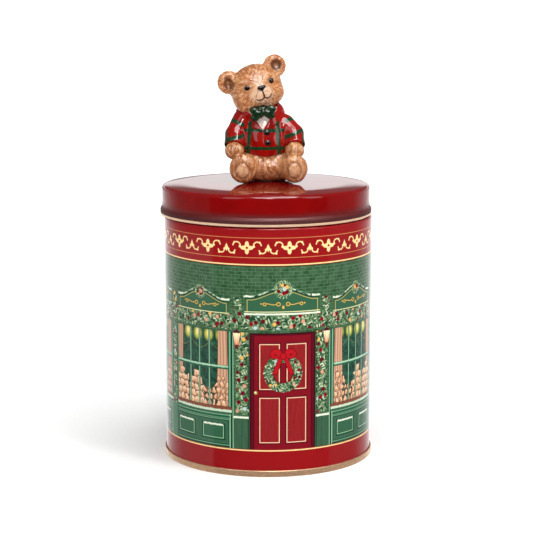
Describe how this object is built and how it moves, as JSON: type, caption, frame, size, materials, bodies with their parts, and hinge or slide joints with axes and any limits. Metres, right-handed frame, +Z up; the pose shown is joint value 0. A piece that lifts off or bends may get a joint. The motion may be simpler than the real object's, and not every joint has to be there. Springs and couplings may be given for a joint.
{
  "type": "cookie tin",
  "caption": "Round printed sheet-metal cookie tin with a necked mouth, a loose slip lid with a rolled bead, and a glazed seated teddy bear as the lid's handle.",
  "frame": {"origin": "on the ground, on the axis of the can, midway across the whole object's box to within 0.8 mm", "axes": "+Z up along the can's axis, -Y is the printed front that the bear faces, +X to the right when looking at the front"},
  "size_m": [0.1332, 0.1322, 0.2513],
  "materials": {
    "printed_tinplate": "gloss varnish over a green and red lithographed print",
    "gold_lacquered_tinplate": "satin gold lacquer",
    "red_lacquered_tinplate": "gloss red lacquer outside, gold lacquer inside",
    "glazed_ceramic": "hand-painted underglaze with a clear gloss glaze",
    "pad_rubber": "matte",
    "plug_brass": "turned, dull",
    "zinc_steel": "bright zinc plate"
  },
  "bodies": {
    "can": {"tin_wall": "printed_tinplate", "tin_base": "gold_lacquered_tinplate"},
    "lid": {"lid_shell": "red_lacquered_tinplate", "bear_figurine": "glazed_ceramic", "bear_pad": "pad_rubber", "bear_plug": "plug_brass", "lid_screw": "zinc_steel", "lid_washer": "zinc_steel"}
  },
  "joints": [
    {"name": "lid_lift", "type": "slide", "parent": "can", "child": "lid", "axis": [0, 0, 1], "range_m": [0, 0.06]}
  ]
}
